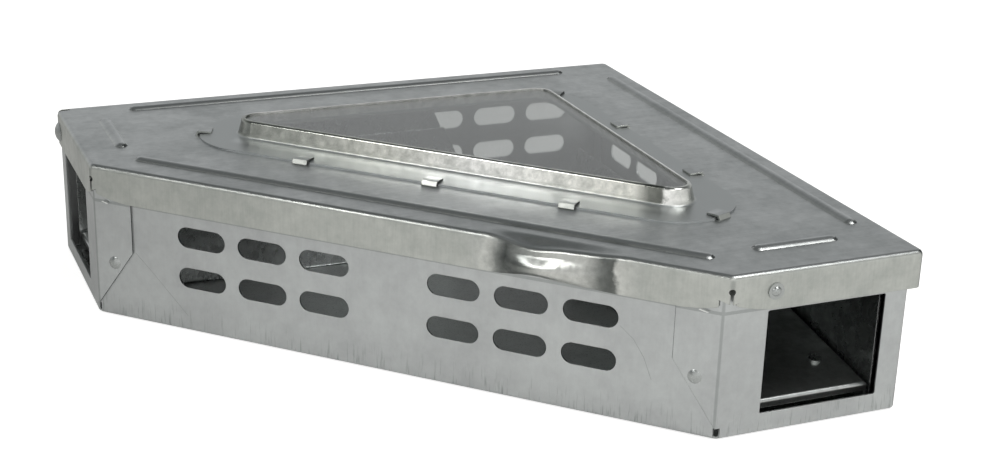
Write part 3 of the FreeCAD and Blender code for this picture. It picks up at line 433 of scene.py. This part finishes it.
def tinplate():
    material, tree = newMaterial("brightTinplate")
    coords = addNode(tree, "ShaderNodeTexCoord")
    blotches = addNode(tree, "ShaderNodeTexNoise", inputs={"Vector": (coords, "Object"),
                                                           "Scale": perMm(tinLook["blotchSize"]),
                                                           "Detail": 4.0, "Roughness": 0.6})
    tone = addNode(tree, "ShaderNodeMapRange", inputs={"Value": (blotches, "Fac"),
                                                       "From Min": 0.35, "From Max": 0.65})
    bright = addNode(tree, "ShaderNodeMix", {"data_type": "RGBA"},
                     {0: (tone, "Result"), 6: linear(tinLook["dull"]),
                      7: linear(tinLook["bright"])})
    height = addNode(tree, "ShaderNodeSeparateXYZ", inputs={0: (coords, "Object")})
    footLow, footHigh = tinLook["collarFoot"]
    collar = addNode(tree, "ShaderNodeMapRange", inputs={"Value": (height, "Z"),
                                                         "From Min": footLow * mm,
                                                         "From Max": footHigh * mm})
    # painted reflection: in front of the window the flange is drawn lighter next to the collar,
    # for the collar mirrored in it
    forward = addNode(tree, "ShaderNodeVectorMath", {"operation": "DOT_PRODUCT"},
                      {0: (coords, "Object"), 1: outOfWall})
    fromCollar = addNode(tree, "ShaderNodeMath", {"operation": "ABSOLUTE"},
                         {0: (forward, "Value")})
    beside = addNode(tree, "ShaderNodeMapRange", {"interpolation_type": "SMOOTHSTEP"},
                     {"Value": (fromCollar, "Value"), "From Min": tinLook["beside"][0] * mm,
                      "From Max": tinLook["beside"][1] * mm, "To Min": 1.0, "To Max": 0.0})
    sideways = addNode(tree, "ShaderNodeVectorMath", {"operation": "DOT_PRODUCT"},
                       {0: (coords, "Object"), 1: alongWall})
    fromMiddle = addNode(tree, "ShaderNodeMath", {"operation": "ABSOLUTE"},
                         {0: (sideways, "Value")})
    within = addNode(tree, "ShaderNodeMapRange", inputs={
        "Value": (fromMiddle, "Value"), "From Min": tinLook["within"][0] * mm,
        "From Max": tinLook["within"][1] * mm, "To Min": 1.0, "To Max": 0.0})
    collarReflectionMask = addNode(tree, "ShaderNodeMath", {"operation": "MULTIPLY"},
                      {0: (beside, "Result"), 1: (within, "Result")})
    flange = addNode(tree, "ShaderNodeMix", {"data_type": "RGBA"},
                     {0: (collarReflectionMask, "Value"), 6: linear(tinLook["flange"]),
                      7: linear(tinLook["paintedReflection"])})
    # painted reflection and shade: the front of the collar is drawn darker to the left, with a
    # dark band near each corner, for what its curved faces mirror
    place = addNode(tree, "ShaderNodeMapRange", inputs={
        "Value": (sideways, "Value"), "From Min": -tinLook["bandReach"] * mm,
        "From Max": tinLook["bandReach"] * mm})
    jitteredBands = addNode(tree, "ShaderNodeMath", {"operation": "MULTIPLY_ADD", "use_clamp": True},
                      {0: (blotches, "Fac"), 1: tinLook["bandJitter"], 2: (place, "Result")})
    collarReflectionBands = addNode(tree, "ShaderNodeValToRGB", inputs={"Fac": (jitteredBands, "Value")})
    fillRamp(collarReflectionBands, tinLook["collarReflectionBands"])
    onFront = addNode(tree, "ShaderNodeMapRange", inputs={
        "Value": (forward, "Value"), "From Min": tinLook["bandDepth"][0] * mm,
        "From Max": tinLook["bandDepth"][1] * mm})
    bandedCollar = addNode(tree, "ShaderNodeMix", {"data_type": "RGBA", "blend_type": "MULTIPLY"},
                      {0: (onFront, "Result"), 6: (bright, 2), 7: (collarReflectionBands, "Color")})
    colour = addNode(tree, "ShaderNodeMix", {"data_type": "RGBA"},
                     {0: (collar, "Result"), 6: (flange, 2), 7: (bandedCollar, 2)})
    rough = addNode(tree, "ShaderNodeMapRange", inputs={"Value": (tone, "Result"),
                                                        "To Min": tinLook["dullRough"],
                                                        "To Max": tinLook["glossRough"]})
    upper = addNode(tree, "ShaderNodeMapRange", inputs={
        "Value": (height, "Z"), "From Min": tinLook["collarBend"][0] * mm,
        "From Max": tinLook["collarBend"][1] * mm})
    gloss = addNode(tree, "ShaderNodeMix", {"data_type": "FLOAT"},
                    {0: (upper, "Result"), 2: tinLook["flangeRough"], 3: (rough, "Result")})
    facing = addNode(tree, "ShaderNodeSeparateXYZ", inputs={0: (coords, "Normal")})
    inside = addNode(tree, "ShaderNodeMath", {"operation": "LESS_THAN"},
                     {0: (facing, "Z"), 1: tinLook["insideTurn"]})
    satin = addNode(tree, "ShaderNodeMix", {"data_type": "FLOAT"},
                    {0: (inside, "Value"), 2: (gloss, 0), 3: tinLook["insideRough"]})
    ripples = addNode(tree, "ShaderNodeTexNoise", inputs={"Vector": (coords, "Object"),
                                                          "Scale": perMm(tinLook["rippleSize"]),
                                                          "Detail": 2.0})
    bump = addNode(tree, "ShaderNodeBump", inputs={"Height": (ripples, "Fac"),
                                                   "Strength": tinLook["rippleBump"],
                                                   "Distance": tinLook["rippleDepth"] * mm})
    metal = addNode(tree, "ShaderNodeBsdfPrincipled", inputs={"Base Color": (colour, 2),
                                                              "Metallic": 1.0,
                                                              "Roughness": (satin, 0),
                                                              "Normal": (bump, "Normal")})
    addNode(tree, "ShaderNodeOutputMaterial", inputs={"Surface": (metal, "BSDF")})
    return material


# Pane: lightly smoked PET sheet, smooth and glossy, which lets the lamps' light through

paneLook = {"tint": "c1c4c3", "rough": 0.02, "ior": 1.57}


def smokedPane():
    material, tree = newMaterial("smokedPetSheet")
    plastic = addNode(tree, "ShaderNodeBsdfPrincipled",
                      inputs={"Base Color": linear(paneLook["tint"]),
                              "Roughness": paneLook["rough"], "IOR": paneLook["ior"],
                              "Transmission Weight": 1.0})
    clear = addNode(tree, "ShaderNodeBsdfTransparent", inputs={"Color": (1, 1, 1, 1)})
    path = addNode(tree, "ShaderNodeLightPath")
    mix = addNode(tree, "ShaderNodeMixShader", inputs={"Fac": (path, "Is Shadow Ray"),
                                                       1: (plastic, "BSDF"), 2: (clear, "BSDF")})
    addNode(tree, "ShaderNodeOutputMaterial", inputs={"Surface": (mix, "Shader")})
    return material


# Fasteners: steel headed or turned, then zinc plated, about as grey as the sheet and glossier.
# The axles and weights are cut from mill bar, which is duller.

fastenerLook = {"mottleSize": 1.6, "bump": 0.3, "depth": 0.08, "dullest": 1.4, "glossiest": 0.8}


def platedFastener(name, base, rough):
    material, tree = newMaterial(name)
    coords = addNode(tree, "ShaderNodeTexCoord")
    mottle = addNode(tree, "ShaderNodeTexNoise", inputs={
        "Vector": (coords, "Object"), "Scale": perMm(fastenerLook["mottleSize"]), "Detail": 3.0})
    tone = addNode(tree, "ShaderNodeMapRange", inputs={
        "Value": (mottle, "Fac"), "From Min": 0.35, "From Max": 0.65,
        "To Min": rough * fastenerLook["dullest"], "To Max": rough * fastenerLook["glossiest"]})
    bump = addNode(tree, "ShaderNodeBump", inputs={"Height": (mottle, "Fac"),
                                                   "Strength": fastenerLook["bump"],
                                                   "Distance": fastenerLook["depth"] * mm})
    metal = addNode(tree, "ShaderNodeBsdfPrincipled", inputs={"Base Color": linear(base),
                                                              "Metallic": 1.0,
                                                              "Roughness": (tone, "Result"),
                                                              "Normal": (bump, "Normal")})
    addNode(tree, "ShaderNodeOutputMaterial", inputs={"Surface": (metal, "BSDF")})
    return material


headedSteel = platedFastener("zincPlatedSteel", "aeb1af", 0.27)
millSteel = platedFastener("millSteelBar", "9a9c9b", 0.4)
dressing = {traySheet: ["base_tray"], lidSheet: ["lid"],
            tunnelSheet: ["left_tunnel", "right_tunnel"],
            treadleSheet: ["left_treadle", "right_treadle"],
            tinplate(): ["window_frame"], smokedPane(): ["window_pane"],
            headedSteel: ["tab_buttons", "hinge_rivets", "keeper_stud", "tunnel_rivets",
                          "axle_clips", "left_weight_rivets", "right_weight_rivets"],
            millSteel: ["left_axle", "right_axle", "left_weight", "right_weight"]}
for material, names in dressing.items():
    for name in names:
        dressNode(name, material)
print("materials dressed:", sum(len(names) for names in dressing.values()), "nodes")

# Marks on the front: a painted shadow along the right tab's edge, two thin darker lines on the
# wall, and the turned-up lips under the ends of the lid's skirt, drawn lighter as a painted
# highlight.
# Each has its width, and then places (along the wall from its middle, height) in millimetres.

wallMarks = {"wallDepth": 0.7, "skirtDepth": -1.0, "thickness": 0.12, "sunk": 0.02,
             "droop": 0.4,
             "tabShadowLine": (0.40, [(105.0, 50.0), (105.0, 27.0), (120.6, 4.9)]),
             "thinDarkLines": (0.18, [[(-104.0, 27.5), (-97.0, 21.0), (-88.0, 12.0), (-82.0, 6.0)],
                                [(86.0, 35.0), (91.0, 31.0), (95.0, 25.0), (98.0, 17.5)]]),
             "lips": (0.7, [[(113.4, 46.9), (116.4, 46.2)], [(-116.2, 46.5), (-113.8, 45.8)]])}


def sheetLine(name, path, width, material, depth, body):
    # a thin strip on the front wall, or on the skirt, which stands further out
    mesh = bpy.data.meshes.new(name)
    shape = bmesh.new()
    verts = [shape.verts.new((x, z, 0)) for x, z in path]
    edges = [shape.edges.new(pair) for pair in zip(verts, verts[1:])]
    widened = bmesh.ops.extrude_edge_only(shape, edges=edges)["geom"]
    bmesh.ops.translate(shape, vec=(-width, -wallMarks["droop"] * width, 0),
                        verts=[v for v in widened if isinstance(v, bmesh.types.BMVert)])
    bmesh.ops.solidify(shape, geom=shape.faces[:], thickness=wallMarks["thickness"])
    bmesh.ops.recalc_face_normals(shape, faces=shape.faces)
    # upright along the wall, then into its place
    x, y = wallMiddle
    inwards = (depth - wallMarks["sunk"]) * diagonal
    standing = Matrix(((diagonal, 0, -diagonal, x + inwards),
                       (-diagonal, 0, -diagonal, y + inwards), (0, 1, 0, 0), (0, 0, 0, 1)))
    bmesh.ops.transform(shape, matrix=Matrix.Scale(mm, 4) @ standing, verts=shape.verts)
    shape.to_mesh(mesh)
    shape.free()
    mesh.materials.append(material)
    strip = bpy.data.objects.new(name, mesh)
    bpy.context.scene.collection.objects.link(strip)
    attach(strip, body)


def makeWallMarks():
    depth = wallMarks["wallDepth"]
    width, path = wallMarks["tabShadowLine"]
    # painted shadow: a dark strip on the wall beside the right tab's edge, where the tab shades it
    sheetLine("tabShadowLine", path, width, tabShadowSteel, depth, "tray")
    # two thin darker lines drawn on the front wall
    width, paths = wallMarks["thinDarkLines"]
    for number, path in enumerate(paths, 1):
        sheetLine("wallDarkLine%d" % number, path, width, darkLineSteel, depth, "tray")
    # the turned-up lips under the ends of the lid's front skirt, drawn flat in the skirt's plane
    # and lighter, a painted highlight for the light their turned edges catch
    width, paths = wallMarks["lips"]
    for number, path in enumerate(paths, 1):
        sheetLine("skirtLip%d" % number, path, width, lipHighlightSteel, wallMarks["skirtDepth"], "lid")


# the colour of the painted shadow beside the tab
tabShadowSteel = platedFastener("paintedTabShadow", "6d7170", 0.42)
darkLineSteel = platedFastener("galvanisedSteelDarkLine", "a6a9a8", 0.42)
# painted highlight: a lighter colour for the skirt's turned-up lips
lipHighlightSteel = platedFastener("galvanisedSteelLipHighlight", "e2e4e1", 0.3)
makeWallMarks()
print("wall marks made")
